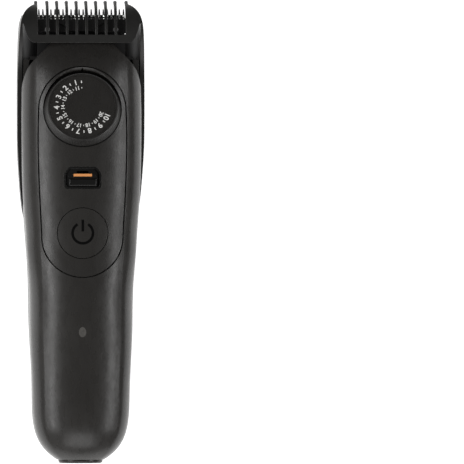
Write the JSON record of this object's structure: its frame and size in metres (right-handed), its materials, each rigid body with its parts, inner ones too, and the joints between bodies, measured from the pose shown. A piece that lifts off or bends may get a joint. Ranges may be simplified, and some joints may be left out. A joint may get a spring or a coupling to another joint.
{
  "type": "beard trimmer",
  "caption": "Cordless beard trimmer with a slide-on length comb, a numbered length dial geared to the comb carrier, a power button and a reciprocating cutter head.",
  "frame": {"origin": "middle of the bounding box in plan, on the surface the trimmer rests on", "axes": "+Y towards the cutter head, +Z out of the front (dial and buttons), +X to the right when the front is seen with the head upwards"},
  "size_m": [0.0458, 0.1666, 0.0378],
  "materials": {
    "housing": "fine matt, warm dark grey",
    "panel": "fine matt, warm dark grey",
    "dial": "fine matt with a knurled skirt",
    "comb": "semi-gloss black",
    "trim": "gloss black",
    "mark": "orange print",
    "frame": "moulded black",
    "inner": "moulded grey",
    "natural": "natural acetal",
    "rubber": "soft seal",
    "lens": "smoked clear",
    "blade": "ground steel",
    "steel": "satin",
    "brass": "bright",
    "tin": "tinned contact",
    "foam": "closed-cell foam",
    "cell": "shrink sleeve",
    "board": "solder mask",
    "chips": "moulded black"
  },
  "bodies": {
    "handle": {"base_cap": "housing", "battery_cell": "cell", "battery_foam": "foam", "battery_tabs": "tin", "blade_frame": "frame", "blade_screws": "steel", "blade_springs": "steel", "board_components": "chips", "board_screws": "steel", "button_membrane": "rubber", "charging_socket": "frame", "circuit_board": "board", "control_panel": "panel", "detent_spring": "steel", "dial_bearing": "frame", "dial_bush": "natural", "dial_seal": "rubber", "fixed_blade": "blade", "front_screw_bosses": "housing", "front_shell": "housing", "head_base": "frame", "head_cover": "frame", "housing_screws": "steel", "inner_chassis": "inner", "motor_can": "steel", "motor_cradle": "inner", "motor_end_bell": "inner", "motor_terminals": "brass", "neck_collar": "frame", "neck_frame": "frame", "neck_seal": "rubber", "rear_shell": "housing", "release_bezel": "trim", "release_spring": "steel", "socket_pins": "brass", "socket_seal": "rubber", "status_led": "inner", "status_lens": "lens", "tact_switch": "chips"},
    "dial": {"length_dial": "dial", "dial_face": "panel", "dial_shaft": "natural", "dial_clip": "steel"},
    "carrier": {"comb_carrier": "frame", "length_rack": "natural"},
    "comb": {"length_comb": "comb"},
    "release": {"release_slider": "trim", "release_mark": "mark", "release_latch": "frame"},
    "button": {"power_button": "housing"},
    "blade": {"moving_blade": "blade", "drive_fork": "natural"},
    "rotor": {"motor_shaft": "steel", "eccentric_cam": "natural"}
  },
  "joints": [
    {"name": "dial_turn", "type": "hinge", "parent": "handle", "child": "dial", "pos_m": [0, 0.04382, 0.0302], "axis": [0, -0.309, -0.9511], "range_deg": [0, 244.2]},
    {"name": "carrier_slide", "type": "slide", "parent": "handle", "child": "carrier", "axis": [0, 1, 0], "range_m": [0, 0.0095]},
    {"name": "comb_pull_off", "type": "slide", "parent": "carrier", "child": "comb", "axis": [0, 1, 0], "range_m": [0, 0.1]},
    {"name": "release_slide", "type": "slide", "parent": "handle", "child": "release", "axis": [0, 1, 0], "range_m": [0, 0.0016], "stiffness_N_per_m": 800, "springref_m": -0.0008, "deforming": ["release_spring"]},
    {"name": "power_press", "type": "slide", "parent": "handle", "child": "button", "axis": [0, 0, -1], "range_m": [0, 0.0006], "stiffness_N_per_m": 1500, "springref_m": -0.0002},
    {"name": "blade_slide", "type": "slide", "parent": "handle", "child": "blade", "axis": [1, 0, 0], "range_m": [-0.001, 0.001]},
    {"name": "motor_spin", "type": "hinge", "parent": "handle", "child": "rotor", "pos_m": [0, 0.048, 0.0122], "axis": [0, 1, 0], "continuous": true}
  ],
  "couplings": [
    {"joint": "carrier_slide", "follows": "dial_turn", "m_per_rad": 0.0022282}
  ]
}
